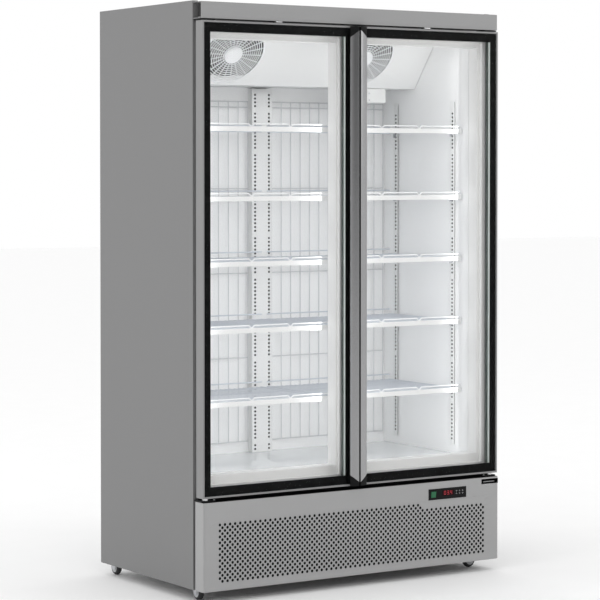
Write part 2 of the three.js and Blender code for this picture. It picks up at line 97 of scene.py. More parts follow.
WALL_SHEET = 1.2 * MM
STRIP_T = 2.4 * MM                # front strip of a shelf
STRIP_LIP = 9 * MM                # depth of its folded lower edge
CROSS_RAILS = (0.02, 0.35, 0.68, 1.0)    # along the shelf, from front to back
DIP_RUN = 11 * MM                 # half width of a dip in the stop wire
DIP_FLAT = 2 * MM
CLIP = (12 * MM, 1.2 * MM, 16 * MM)      # reach from the wall, half thickness, height

# Fan guards, in each fan's own frame
GUARD_RINGS = 9
FIRST_RING_R = 38 * MM
RING_PITCH = 8.4 * MM
RING_W = 3 * MM
GUARD_Z = (0.6 * MM, 2.8 * MM)    # back and front of the flat part
GUARD_DOME = 5 * MM               # how far the middle stands out
RIM_R = (114 * MM, 122 * MM)
SPOKES = 24
SPOKE_R = (26 * MM, 115 * MM)
SPOKE_HALF = 1.6 * MM
GUARD_CAP_R = (34 * MM, 28 * MM)
SHADOW_R = 118 * MM
MOTOR_R = 27 * MM
MOTOR_DEPTH = 30 * MM

# Fittings under the evaporator cover and behind the top rail
SENSOR_X = (0.300, 0.425)
SENSOR_Y = (0.100, 0.150)
SENSOR_DROP = 52 * MM
SENSOR_SCREWS = (18 * MM, 42 * MM)       # below the cover
SENSOR_SCREW_X = 0.352
LAMP_X = 0.52
LAMP_Z = (1.845, 1.870)
LAMP_DEPTH = 20 * MM

# Hinges and small fittings outside
PIN_AT = (576.5 * MM, -310 * MM)
BUSH_R = (5.3 * MM, 10 * MM)
TAB_X = 0.30
TAB_HALF = 13 * MM
SCREW_AT = (0.548, -0.3155)
SCREW_R = 2.6 * MM

# Controller and badge: from the panel's left edge and its middle height
WINDOW_X = (58 * MM, 108 * MM)
WINDOW_Z = (-8 * MM, 12 * MM)
WINDOW_PROUD = 0.5 * MM
DIGITS = "034"
DIGIT_AT = (7 * MM, -4 * MM)      # from the window's edge, from the middle height
DIGIT_PITCH = 13 * MM
DIGIT_SIZE = (8 * MM, 13 * MM)
DIGIT_PROUD = 0.9 * MM
DIGIT_DEPTH = 0.5 * MM
STROKE_SHARE = 0.2                # of a digit's width
POINT_X = (30.5 * MM, 32 * MM)
POINT_H = 1.5 * MM
KEY_AT = (116 * MM, -4 * MM)
KEY_PITCH = (13 * MM, 9 * MM)
KEYS = (3, 2)
KEY_SIZE = 6 * MM
KEY_STROKE = 1.6 * MM
KEY_ARM = 2 * MM                  # how far a key's upright bar passes its level bar
KEY_PROUD = 0.4 * MM
BADGE_X = (74 * MM, 1 * MM)       # from the right end of the base cover
BADGE_Z = (23 * MM, 5 * MM)       # below its top
STRIPE_X = (66 * MM, 18 * MM)
STRIPE_Z = (16 * MM, 13.5 * MM)

# Castor hubs
HUB_R = 16.5 * MM
WHEEL_HALF = 9 * MM


# ---------------------------------------------------------------- materials

def nodes_of(name):
    material = bpy.data.materials.new(name)
    material.use_nodes = True
    tree = material.node_tree
    return material, tree, tree.nodes["Principled BSDF"]


def noise(tree, scale, detail=4.0, stretch=None):
    """A noise texture in object space; stretch makes it run along an axis, as brushing does."""
    coords = tree.nodes.new("ShaderNodeTexCoord")
    texture = tree.nodes.new("ShaderNodeTexNoise")
    texture.inputs["Scale"].default_value = scale
    texture.inputs["Detail"].default_value = detail
    source = coords.outputs["Object"]
    if stretch:
        mapping = tree.nodes.new("ShaderNodeMapping")
        mapping.inputs["Scale"].default_value = stretch
        tree.links.new(source, mapping.inputs["Vector"])
        source = mapping.outputs["Vector"]
    tree.links.new(source, texture.inputs["Vector"])
    return texture.outputs["Fac"]


def varied(tree, factor, socket, low, high):
    """Drives a colour or number socket between low and high by a 0..1 factor."""
    if isinstance(low, tuple):
        ramp = tree.nodes.new("ShaderNodeValToRGB")
        ramp.color_ramp.elements[0].position = 0.3
        ramp.color_ramp.elements[1].position = 0.7
        ramp.color_ramp.elements[0].color = (*low, 1)
        ramp.color_ramp.elements[1].color = (*high, 1)
        tree.links.new(factor, ramp.inputs["Fac"])
        tree.links.new(ramp.outputs["Color"], socket)
        return
    spread = tree.nodes.new("ShaderNodeMapRange")
    spread.inputs["To Min"].default_value = low
    spread.inputs["To Max"].default_value = high
    tree.links.new(factor, spread.inputs["Value"])
    tree.links.new(spread.outputs["Result"], socket)


def bumped(tree, shader, factor, strength, distance=0.0003):
    bump = tree.nodes.new("ShaderNodeBump")
    bump.inputs["Strength"].default_value = strength
    bump.inputs["Distance"].default_value = distance
    tree.links.new(factor, bump.inputs["Height"])
    tree.links.new(bump.outputs["Normal"], shader.inputs["Normal"])


def surface(name, color, roughness, metallic=0.0, spread=0.04, grain=700, bump=0.08, stretch=None, patch=6):
    """A finish with slow colour and roughness patches and a fine grain in the surface."""
    material, tree, shader = nodes_of(name)
    shader.inputs["Metallic"].default_value = metallic
    slow = noise(tree, patch, 3.0)
    fine = noise(tree, grain, 2.0, stretch)
    low = tuple(c * (1 - spread) for c in color)
    high = tuple(min(c * (1 + spread), 1.0) for c in color)
    varied(tree, slow, shader.inputs["Base Color"], low, high)
    varied(tree, fine if stretch else slow, shader.inputs["Roughness"], roughness * 0.85, roughness * 1.15)
    bumped(tree, shader, fine, bump)
    return material


def matt(material, level):
    """Lowers a dark finish's reflection of the white surroundings."""
    material.node_tree.nodes["Principled BSDF"].inputs["Specular IOR Level"].default_value = level


def two_faced(name, inside, outside, roughness, split):
    """One colour in front of the plane y = split and another behind it, both in object space."""
    material, tree, shader = nodes_of(name)
    coords = tree.nodes.new("ShaderNodeTexCoord")
    axes = tree.nodes.new("ShaderNodeSeparateXYZ")
    behind = tree.nodes.new("ShaderNodeMath")
    behind.operation = "GREATER_THAN"
    behind.inputs[1].default_value = split
    tree.links.new(coords.outputs["Object"], axes.inputs["Vector"])
    tree.links.new(axes.outputs["Y"], behind.inputs[0])
    varied(tree, behind.outputs["Value"], shader.inputs["Base Color"], inside, outside)
    varied(tree, noise(tree, 3, 3.0), shader.inputs["Roughness"], roughness * 0.85, roughness * 1.15)
    bumped(tree, shader, noise(tree, 500, 2.0), 0.05)
    return material


def glowing(name, color, roughness, strength):
    material = surface(name, color, roughness, grain=300, bump=0.03)
    shader = material.node_tree.nodes["Principled BSDF"]
    shader.inputs["Emission Color"].default_value = (*color, 1)
    shader.inputs["Emission Strength"].default_value = strength
    return material


def clear_glass():
    """Clear pane: nearly invisible face on, more reflective at a low angle."""
    material, tree, shader = nodes_of("clear_glass")
    shader.inputs["Base Color"].default_value = (0.02, 0.03, 0.028, 1)
    shader.inputs["Roughness"].default_value = 0.04
    weight = tree.nodes.new("ShaderNodeLayerWeight")
    weight.inputs["Blend"].default_value = 0.06
    varied(tree, weight.outputs["Fresnel"], shader.inputs["Alpha"], 0.004, 0.5)
    smear = noise(tree, 9, 5.0)
    bumped(tree, shader, smear, 0.02)
    return material


GREY = (0.335, 0.335, 0.336)
WHITE = (0.93, 0.935, 0.935)
GALVANISED = (0.30, 0.31, 0.315)
PAINT = {"spread": 0.015, "grain": 1400, "bump": 0.10, "patch": 1.5}
# paint_side_painted_shade is the front's grey paint darkened to about half: painted shade for the side
# panels, which face away from the lights; the roof and the base tray get it too.
paint_side_painted_shade = surface("side_paint", (0.178, 0.178, 0.179), 0.45, **PAINT)
# paint_fascia_painted_shade is the front's grey darkened a little: painted shade on the header fascia.
paint_fascia_painted_shade = surface("fascia_paint_painted_shade", (0.292, 0.292, 0.293), 0.45, **PAINT)
paint_front = surface("front_paint", GREY, 0.42, **PAINT)
rear_wall = two_faced("white_liner_grey_back", WHITE, GALVANISED, 0.4, REAR_SKIN_Y)
liner = surface("white_liner", WHITE, 0.38, spread=0.012, grain=500, bump=0.05, patch=3)
white_metal = surface("white_powder_coat", (0.84, 0.845, 0.84), 0.4, spread=0.015, grain=1600, bump=0.12)
white_wire = surface("white_coated_wire", (0.87, 0.88, 0.89), 0.3, spread=0.02, grain=900, bump=0.06)
aluminium = surface("anodised_aluminium", (0.33, 0.33, 0.335), 0.24, 0.92, 0.03, 260, 0.05, (6, 6, 0.05))
trim_metal = surface("door_trim_aluminium", (0.24, 0.24, 0.242), 0.5, 0.2, 0.02, 260, 0.04, (1, 1, 1))
spacer_front = surface("spacer_light", (0.66, 0.72, 0.69), 0.45, 0.1, 0.05, 600, 0.08)
spacer_back = surface("spacer_dark", (0.07, 0.09, 0.08), 0.35, 0.1, 0.25, 600, 0.08, patch=8)
glass = clear_glass()
border = surface("printed_border", (0.0085, 0.0087, 0.0088), 0.3, spread=0.1, grain=900, bump=0.01)
matt(border, 0.02)
gasket_white = surface("gasket_rubber", (0.93, 0.93, 0.92), 0.6, spread=0.02, grain=1200, bump=0.2)
frame_white = surface("white_front_frame", (0.96, 0.96, 0.95), 0.4, spread=0.005, grain=500, bump=0.05,
                      patch=3)
floor_plate = surface("glossy_floor_plate", (0.72, 0.74, 0.75), 0.06, spread=0.012, grain=90, bump=0.004,
                      patch=3)
# deck_wire_painted_shade is white coated wire darkened to blue-grey: painted shade of the shelf decks,
# darker than the white front strips and stop wires.
deck_wire_painted_shade = surface("shelf_deck_wire_painted_shade", (0.62, 0.65, 0.70), 0.35, spread=0.03, grain=900, bump=0.06)
# guard_wire_painted_shade is white coated wire greyed: painted shade for the wires shadowed against the
# white back.
guard_wire_painted_shade = surface("guard_wire_painted_shade", (0.66, 0.67, 0.68), 0.35, spread=0.04, grain=900, bump=0.06)
plastic = surface("black_plastic", (0.006, 0.006, 0.0062), 0.5, spread=0.12, grain=1500, bump=0.25)
matt(plastic, 0.12)
key_grey = surface("key_symbols", (0.26, 0.26, 0.265), 0.5, grain=900)
display_glass = surface("display_window", (0.014, 0.004, 0.005), 0.2, spread=0.1, grain=600, bump=0.02)
matt(display_glass, 0.1)
digit_red = glowing("display_digits", (0.4, 0.01, 0.025), 0.3, 0.22)
rocker_green = glowing("lit_rocker", (0.002, 0.10, 0.035), 0.35, 0.10)
bright_steel = surface("bright_steel", (0.62, 0.62, 0.62), 0.25, 0.95, 0.04, 300, 0.05, (1, 1, 8))
zinc = surface("zinc_plate", (0.52, 0.53, 0.55), 0.36, 0.85, 0.10, 420, 0.12, patch=60)
hinge_black = surface("hinge_black", (0.01, 0.01, 0.011), 0.5, 0.0, 0.1, 800, 0.15)
matt(hinge_black, 0.2)
tyre = surface("castor_tyre", (0.02, 0.02, 0.021), 0.7, spread=0.15, grain=900, bump=0.3)
hub_grey = surface("castor_hub", (0.42, 0.43, 0.44), 0.45, spread=0.06, grain=900, bump=0.1)
fins = surface("coil_fins", (0.55, 0.56, 0.57), 0.4, 0.8, 0.08, 900, 0.5, (1, 0.02, 0.02))
compressor_black = surface("compressor_enamel", (0.012, 0.012, 0.013), 0.3, 0.1, 0.1, 500, 0.15)
copper = surface("copper_pipe", (0.62, 0.28, 0.16), 0.3, 0.95, 0.08, 400, 0.08, patch=30)
foam = surface("filter_foam", (0.004, 0.004, 0.004), 0.95, spread=0.2, grain=1800, bump=0.6)
lamp_glow = glowing("lamp_diffuser", (1.0, 1.0, 0.98), 0.5, 1.0)


# ---------------------------------------------------------------- mesh helpers

class Shape:
    """Collects closed solids in one mesh, in the part's frame, and turns it into a piece."""

    def __init__(self):
        self.mesh = bmesh.new()

    def solid(self, points, faces, matrix=None):
        made = [self.mesh.verts.new(matrix @ Vector(p) if matrix else Vector(p)) for p in points]
        return [self.mesh.faces.new([made[i] for i in face]) for face in faces]

    def box(self, low, high, matrix=None):
        points = [(x, y, z) for x in (low[0], high[0]) for y in (low[1], high[1])
                  for z in (low[2], high[2])]
        faces = [(0, 1, 3, 2), (4, 6, 7, 5), (0, 4, 5, 1), (2, 3, 7, 6), (0, 2, 6, 4), (1, 5, 7, 3)]
        self.solid(points, faces, matrix)
        return self

    def prism(self, outline, low, high, matrix=None):
        """An outline of (x, y) points raised along Z. low and high may be functions of the point."""
        count = len(outline)
        height = [end if callable(end) else (lambda point, end=end: end) for end in (low, high)]
        points = [(*p, height[0](p)) for p in outline] + [(*p, height[1](p)) for p in outline]
        sides = [(i, (i + 1) % count, count + (i + 1) % count, count + i) for i in range(count)]
        caps = [tuple(reversed(range(count))), tuple(range(count, 2 * count))]
        self.solid(points, sides + caps, matrix)
        return self

    def turned(self, profile, sides, matrix=None):
        """A closed (radius, z) profile turned about Z."""
        rows = len(profile)
        angles = [2 * math.pi * i / sides for i in range(sides)]
        points = [(r * math.cos(a), r * math.sin(a), z) for a in angles for r, z in profile]
        faces = []
        for i in range(sides):
            for j in range(rows):
                k = (j + 1) % rows
                if profile[j][0] == 0 and profile[k][0] == 0:
                    continue
                here, there = i * rows, (i + 1) % sides * rows
                faces.append((here + j, there + j, there + k, here + k))
        self.solid(points, faces, matrix)
        return self

    def disc(self, radius, low, high, sides=24, matrix=None):
        angles = [2 * math.pi * i / sides for i in range(sides)]
        outline = [(radius * math.cos(a), radius * math.sin(a)) for a in angles]
        return self.prism(outline, low, high, matrix)

    def wire(self, points, radius, sides=6):
        """A round wire through the points, with mitred bends and closed ends."""
        points = [Vector(p) for p in points]
        steps = [(b - a).normalized() for a, b in zip(points, points[1:])]
        helper = Vector((0, 0, 1)) if abs(steps[0].z) < 0.9 else Vector((0, 1, 0))
        across = steps[0].cross(helper).normalized()
        rings = []
        for i, point in enumerate(points):
            before, after = steps[max(i - 1, 0)], steps[min(i, len(steps) - 1)]
            tangent = (before + after).normalized()
            across = (across - tangent * across.dot(tangent)).normalized()
            up = tangent.cross(across)
            rings.append([point + (across * math.cos(a) + up * math.sin(a)) * radius
                          for a in (2 * math.pi * k / sides for k in range(sides))])
        verts = [p for ring in rings for p in ring]
        starts = range(0, (len(rings) - 1) * sides, sides)
        faces = [(i + k, i + (k + 1) % sides, i + sides + (k + 1) % sides, i + sides + k)
                 for i in starts for k in range(sides)]
        last = (len(rings) - 1) * sides
        faces += [tuple(reversed(range(sides))), tuple(range(last, last + sides))]
        self.solid(verts, faces)
        return self

    def sheet(self, x_lines, z_lines, is_open, place, thickness):
        """A flat sheet of cells between the lines, without the open cells, thickened behind its face."""
        layer = bmesh.new()
        grid = [[layer.verts.new(place(x, z)) for z in z_lines] for x in x_lines]
        for i in range(len(x_lines) - 1):
            for j in range(len(z_lines) - 1):
                middle = ((x_lines[i] + x_lines[i + 1]) / 2, (z_lines[j] + z_lines[j + 1]) / 2)
                if not is_open(*middle):
                    layer.faces.new((grid[i][j], grid[i + 1][j], grid[i + 1][j + 1], grid[i][j + 1]))
        self.thicken(layer, thickness)
        return self

    def thicken(self, layer, thickness):
        """Adds a one-layer mesh as a closed sheet of that thickness."""
        bmesh.ops.delete(layer, geom=[v for v in layer.verts if not v.link_faces], context="VERTS")
        bmesh.ops.solidify(layer, geom=layer.faces[:], thickness=thickness)
        made = bpy.data.meshes.new("layer")
        layer.to_mesh(made)
        layer.free()
        self.mesh.from_mesh(made)
        bpy.data.meshes.remove(made)

    def piece(self, name, material, body, slot, bevel=0.0, smooth=0.0, replaces=()):
        """Ends the shape: one named object that rides on a body, with softened edges."""
        bmesh.ops.remove_doubles(self.mesh, verts=self.mesh.verts[:], dist=1e-7)
        bmesh.ops.recalc_face_normals(self.mesh, faces=self.mesh.faces[:])
        data = bpy.data.meshes.new(name)
        self.mesh.to_mesh(data)
        self.mesh.free()
        made = bpy.data.objects.new(name, data)
        bpy.context.scene.collection.objects.link(made)
        data.materials.append(material)
        if smooth:
            data.shade_smooth()
            data.set_sharp_from_angle(angle=math.radians(smooth))
        if bevel:
            soften(made, bevel)
        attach(made, body)
        if replaces:
            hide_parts(*replaces)
        return made


SHARP_ANGLE = 35                   # degrees
WELD_GAP = 0.01 * MM


def soften(piece, width):
    rounding = piece.modifiers.new("edges", "BEVEL")
    rounding.width = width
    rounding.segments = 2
    rounding.limit_method = "ANGLE"
    rounding.angle_limit = math.radians(SHARP_ANGLE)
    rounding.harden_normals = False


def finish_cad(node, material, bevel=0.0):
    """Gives a CAD node its material and, where it has sharp visible edges, a small edge radius."""
    piece = frame["nodes"][node]
    piece.data.materials.clear()
    piece.data.materials.append(material)
    if bevel:
        weld = piece.modifiers.new("weld", "WELD")
        weld.merge_threshold = WELD_GAP
        soften(piece, bevel)


FACE_ON = Matrix.Rotation(math.pi / 2, 4, "X")    # turns a disc to face the front


def span(side, low, high):
    """A right-hand x range as the range of either side."""
    return (low, high) if side > 0 else (-high, -low)


# ---------------------------------------------------------------- cabinet

def dress_cabinet():
    # The side panels, roof and base tray take the darkened grey with painted shade.
    for node in ("side_panel_left", "side_panel_right", "insulated_roof"):
        finish_cad(node, paint_side_painted_shade, 0.6 * MM)
    for node in ("insulated_wall_left", "insulated_wall_right"):
        finish_cad(node, liner)
    finish_cad("insulated_rear_wall", rear_wall)
    finish_cad("insulated_floor", floor_plate)
    finish_cad("front_frame", frame_white, 2.5 * MM)
    finish_cad("header_fascia", paint_fascia_painted_shade, 0.9 * MM)
    finish_cad("base_tray", paint_side_painted_shade, 0.8 * MM)


def perforated_layer(x_low, x_high, z_low, z_high, y):
    """The base cover's front sheet: square cells on their corners, each with a round hole, and
    plain strips around them."""
    layer = bmesh.new()
    half = PITCH / 2
    found = {}

    def vertex(x, z):
        key = (round(x, 6), round(z, 6))
        if key not in found:
            found[key] = layer.verts.new((x, y, z))
        return found[key]

    last_m, last_n = 2 * HOLE_COLUMNS, 2 * HOLE_ROWS
    xs = [FIRST_HOLE[0] + m * half for m in range(-1, last_m + 1)]
    zs = [FIRST_HOLE[1] - n * half for n in range(-1, last_n + 1)]

    def cell(m, n):
        corners = [(m - 1, n), (m, n - 1), (m + 1, n), (m, n + 1)]
        inside = [(a, b) if -1 <= a <= last_m and -1 <= b <= last_n else (m, n) for a, b in corners]
        points = [(xs[a + 1], zs[b + 1]) for a, b in inside]
        whole = inside == corners
        short = m >= 2 * SHORT_FROM_COLUMN and n < 2
        holed = whole and 0 <= m < last_m and 0 <= n < last_n and not short
        if not holed:
            kept = [p for i, p in enumerate(points) if p not in points[:i]]
            if len(kept) > 2:
                layer.faces.new([vertex(*p) for p in kept])
            return
        centre = (xs[m + 1], zs[n + 1])
        arc = [math.pi - i * math.pi / 8 for i in range(16)]
        rim = [(centre[0] + HOLE_R * math.cos(a), centre[1] + HOLE_R * math.sin(a)) for a in arc]
        for q in range(4):
            inner = [rim[(4 * q + i) % 16] for i in range(4, -1, -1)]
            layer.faces.new([vertex(*p) for p in [points[q], points[(q + 1) % 4], *inner]])

    for m in range(-1, last_m + 1):
        for n in range(-1, last_n + 1):
            if (m - n) % 2 == 0:
                cell(m, n)

    panel_low, panel_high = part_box("control_panel")

    def strips(x_lines, z_lines):
        for x0, x1 in zip(x_lines, x_lines[1:]):
            for z0, z1 in zip(z_lines, z_lines[1:]):
                level = x0 > panel_low.x and x1 < panel_high.x
                behind = level and z0 > panel_low.z and z1 < panel_high.z
                if not behind:
                    layer.faces.new([vertex(x0, z0), vertex(x1, z0), vertex(x1, z1), vertex(x0, z1)])

    window = [panel_low.z + 2 * MM, panel_high.z - 2 * MM]
    strips([x_low, *xs, x_high], [zs[0], *window, z_high])
    strips([x_low, *xs, x_high], [z_low, zs[-1]])
    strips([x_low, xs[0]], list(reversed(zs)))
    strips([xs[-1], x_high], list(reversed(zs)))
    return layer


def base_cover():
    low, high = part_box("base_front_panel")
    turn = 4 * MM
    shape = Shape()
    layer = perforated_layer(low.x + turn, high.x - turn, low.z, high.z, low.y)
    shape.thicken(layer, -SHEET)
    for _, side in SIDES:
        arc = [(high.x - turn + turn * math.sin(a), low.y + turn - turn * math.cos(a))
               for a in (math.pi / 2 * i / 6 for i in range(7))]
        inner = [(high.x - turn + (turn - SHEET) * math.sin(a), low.y + turn - (turn - SHEET) * math.cos(a))
                 for a in (math.pi / 2 * i / 6 for i in range(6, -1, -1))]
        outline = [*arc, (high.x, high.y), (high.x - SHEET, high.y), *inner]
        shape.prism([(side * x, y) for x, y in outline], low.z, high.z)
    shape.box((low.x + turn, low.y + SHEET, high.z - SHEET), (high.x - turn, high.y, high.z))
    shape.box((low.x + turn, low.y + SHEET, low.z), (high.x - turn, low.y + 18 * MM, low.z + SHEET))
    shape.piece("base_cover", paint_front, "root", "front_paint", smooth=30, replaces=["base_front_panel"])
    filter_x = (FIRST_HOLE[0] - PITCH, FIRST_HOLE[0] + HOLE_COLUMNS * PITCH)
    Shape().box((filter_x[0], low.y + 5 * MM, low.z + 12 * MM),
                (filter_x[1], low.y + 11 * MM, high.z - 68 * MM)) \
        .piece("condenser_filter", foam, "root", "black_plastic", bevel=1 * MM)


def base_black_strips():
    """The black strip on top of the base cover, and a black strip behind the gap under the doors: painted
    shade that keeps the gap dark.
    """
    low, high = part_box("base_front_panel")
    # A black strip over the base cover's top, which darkens the gap under the doors.
    Shape().box((low.x + 3 * MM, low.y + 1.5 * MM, high.z), (high.x - 3 * MM, high.y, high.z + 1.2 * MM)) \
        .piece("base_top_black_strip", plastic, "root", "black_plastic", bevel=0.4 * MM)
    door_low, door_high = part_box("door_frame_left")
    # Painted shade: a black strip behind the gap under the doors, where the gap shows only shade.
    Shape().box((low.x + 6 * MM, door_high.y - 6 * MM, high.z + 0.2 * MM),
                (high.x - 6 * MM, door_high.y, door_low.z - 1 * MM)) \
        .piece("under_door_shade_strip", plastic, "root", "black_plastic", bevel=0.4 * MM)


def badge_plate():
    low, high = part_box("base_front_panel")
    Shape().box((high.x - BADGE_X[0], low.y - 1.2 * MM, high.z - BADGE_Z[0]),
                (high.x - BADGE_X[1], low.y, high.z - BADGE_Z[1])) \
        .piece("badge_plate", plastic, "root", "black_plastic", bevel=0.5 * MM)
    Shape().box((high.x - STRIPE_X[0], low.y - 1.6 * MM, high.z - STRIPE_Z[0]),
                (high.x - STRIPE_X[1], low.y - 1.1 * MM, high.z - STRIPE_Z[1])) \
        .piece("badge_stripe", key_grey, "root", "zinc_steel", bevel=0.15 * MM)


# ---------------------------------------------------------------- doors

def ring(shape, side, box, insets, y_range):
    """A rectangular frame. insets are the outer and inner offsets from the box: hinge, meeting side,
    bottom, top."""
    (low, high), (outer, inner) = box, insets
    meeting, hinge = sorted((abs(low.x), abs(high.x)))
    layer = [(meeting + edge[1], hinge - edge[0], low.z + edge[2], high.z - edge[3])
             for edge in (outer, inner)]
    (a0, a1, c0, c1), (b0, b1, d0, d1) = layer
    corners = [(a0, c0), (a1, c0), (a1, c1), (a0, c1)], [(b0, d0), (b1, d0), (b1, d1), (b0, d1)]
    points = [(side * x, y, z) for y in y_range for ring_points in corners for x, z in ring_points]
    faces = []
    for i in range(4):
        j = (i + 1) % 4
        faces += [(i, j, 4 + j, 4 + i), (8 + i, 12 + i, 12 + j, 8 + j), (i, 8 + i, 8 + j, j),
                  (4 + i, 4 + j, 12 + j, 12 + i)]
    shape.solid(points, faces)
    return shape


def dress_door(name, side):
    body = f"door_{name}"
    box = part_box(f"door_frame_{name}")
    low, high = box
    front = low.y
    finish_cad(f"door_frame_{name}", trim_metal, 0.7 * MM)
    finish_cad(f"door_gasket_{name}", gasket_white, 2 * MM)
    meeting, hinge = sorted((abs(low.x), abs(high.x)))

    pane_x = span(side, MEETING_TRIM + 0.4 * MM, hinge - TRIM - 0.4 * MM)
    pane_z = (low.z + TRIM + 0.4 * MM, high.z - TRIM - 0.4 * MM)
    Shape().box((pane_x[0], front, pane_z[0]), (pane_x[1], front + LITE, pane_z[1])) \
        .piece(f"outer_pane_{name}", glass, body, "door_glass", bevel=0.4 * MM,
               replaces=[f"door_glass_{name}"])
    outer = (TRIM + 0.5 * MM, MEETING_TRIM - meeting + 0.5 * MM, TRIM + 0.5 * MM, TRIM + 0.5 * MM)
    clear = (BORDER_HINGE, BORDER_MEETING - meeting, BORDER_Z, BORDER_Z)
    ring(Shape(), side, box, (outer, clear), (front + LITE + 0.05 * MM, front + LITE + 0.45 * MM)) \
        .piece(f"printed_border_{name}", border, body, "black_plastic")
    back = front + GLAZING_DEPTH
    wide = tuple(c - SPACER_W + 1 * MM for c in clear)
    near = (clear[0] + 0.5 * MM, clear[1] + 0.5 * MM, clear[2] - 4 * MM, clear[3] - 1.5 * MM)
    middle = front + LITE + (GLAZING_DEPTH - 2 * LITE) * SPACER_SHARE
    ring(Shape(), side, box, (wide, near), (front + LITE + 0.5 * MM, middle)) \
        .piece(f"spacer_bar_{name}", spacer_front, body, "door_aluminium", bevel=0.3 * MM)
    ring(Shape(), side, box, (wide, near), (middle + 0.05 * MM, back - LITE - 0.05 * MM)) \
        .piece(f"spacer_seal_{name}", spacer_back, body, "black_plastic", bevel=0.3 * MM)
    x0, x1 = span(side, meeting + wide[1], hinge - wide[0])
    Shape().box((x0, back - LITE, low.z + wide[2]), (x1, back, high.z - wide[3])) \
        .piece(f"inner_pane_{name}", glass, body, "door_glass", bevel=0.4 * MM)


HANDLE_RIDGE = 22.4 * MM          # how far the ridge stands in front of the door
HANDLE_LIP = 13.4 * MM
HANDLE_FOOT = 0.4 * MM
HANDLE_X = (3 * MM, 33 * MM)      # ridge and outer lip, from the centre line
HANDLE_END = 14 * MM
HANDLE_MITRE = 23 * MM


def handle_outline(scale=1.0):
    """(distance from the centre line, height above the door face): a bowed face over a finger groove."""
    x0, x1 = HANDLE_X
    bow = 1.6 * MM
    face = []
    for i in range(13):
        t = i / 12
        height = HANDLE_RIDGE + (HANDLE_LIP - HANDLE_RIDGE) * t + bow * math.sin(math.pi * t)
        face.append((x0 + 1.2 * MM + (x1 - x0 - 1.2 * MM) * t, min(height, HANDLE_RIDGE) * scale))
    under = [(x1, 10.4 * MM), (x1 - 1 * MM, 9.8 * MM), (16 * MM, 11.4 * MM), (12.5 * MM, 10.4 * MM),
             (11 * MM, 8 * MM), (11 * MM, HANDLE_FOOT)]
    return [(x0, HANDLE_FOOT), (x0, (HANDLE_RIDGE - 1 * MM) * scale), *face, *under]


def door_handle(name, side):
    low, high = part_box(f"door_frame_{name}")
    x0, x1 = HANDLE_X

    def mitre(point):
        return HANDLE_END + HANDLE_MITRE * (abs(point[0]) - x0) / (x1 - x0)

    def placed(scale=1.0):
        return [(side * x, low.y - proud) for x, proud in handle_outline(scale)]

    Shape().prism(placed(), lambda p: low.z + mitre(p), lambda p: high.z - mitre(p)) \
        .piece(f"handle_profile_{name}", aluminium, f"door_{name}", "door_aluminium", smooth=25,
               replaces=[f"door_handle_{name}"])
    caps = Shape()
    gap = 0.2 * MM
    edge = 0.8 * MM
    caps.prism(placed(0.97), lambda p: low.z + edge, lambda p: low.z + mitre(p) - gap)
    caps.prism(placed(0.97), lambda p: high.z - mitre(p) + gap, lambda p: high.z - edge)
    caps.piece(f"handle_caps_{name}", plastic, f"door_{name}", "black_plastic", smooth=25)


def hinge_details(name, side):
    for where in ("bottom", "top"):
        node = f"hinge_{name}_{where}"
        finish_cad(node, hinge_black, 0.8 * MM)
        low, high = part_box(node)
        frame_low, frame_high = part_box(f"door_frame_{name}")
        if where == "bottom":
            z0, z1 = low.z + 4.1 * MM, frame_low.z - 0.4 * MM
        else:
            z0, z1 = frame_high.z + 0.2 * MM, high.z - 4.2 * MM
        place = Matrix.Translation((side * PIN_AT[0], PIN_AT[1], 0))
        profile = [(BUSH_R[0], z0), (BUSH_R[1], z0), (BUSH_R[1], z1), (BUSH_R[0], z1)]
        Shape().turned(profile, 24, place) \
            .piece(f"hinge_bush_{name}_{where}", bright_steel, "root", "hinge_steel", bevel=0.3 * MM)


def strike_tabs():
    """Small bright tabs under the header at the middle of each door."""
    low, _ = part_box("header_fascia")
    for name, side in SIDES:
        x = side * TAB_X
        Shape().box((x - TAB_HALF, low.y + 3 * MM, low.z - 4 * MM),
                    (x + TAB_HALF, low.y + 22 * MM, low.z - 0.3 * MM)) \
            .piece(f"strike_tab_{name}", bright_steel, "root", "hinge_steel", bevel=0.8 * MM)


def hinge_screws():
    """Bright screw heads on the fixed plates beside the outer hinges, top and bottom."""
    gap_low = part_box("base_front_panel")[1].z
    gap_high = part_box("header_fascia")[0].z
    shape = Shape()
    for _, side in SIDES:
        for z in (gap_low + 5 * MM, gap_high - 3 * MM):
            place = Matrix.Translation((side * SCREW_AT[0], SCREW_AT[1], z)) @ FACE_ON
            shape.disc(SCREW_R, -3 * MM, 3 * MM, 16, place)
    shape.piece("hinge_screws", bright_steel, "root", "hinge_steel", bevel=0.3 * MM)


# ---------------------------------------------------------------- interior

def slots(z_low, z_high):
    """Z lines of a slotted strip, and the test of whether a height is inside a slot."""
    first = math.ceil((z_low + 8 * MM - BLANK_AT) / SLOT_PITCH)
    last = math.floor((z_high - 8 * MM - BLANK_AT) / SLOT_PITCH)
    starts = [BLANK_AT + i * SLOT_PITCH - SLOT_H / 2 for i in range(first, last) if i % SLOT_GROUP]
    lines = sorted({z_low, z_high, *starts, *(z + SLOT_H for z in starts)})
    return lines, lambda z: any(z0 < z < z0 + SLOT_H for z0 in starts)


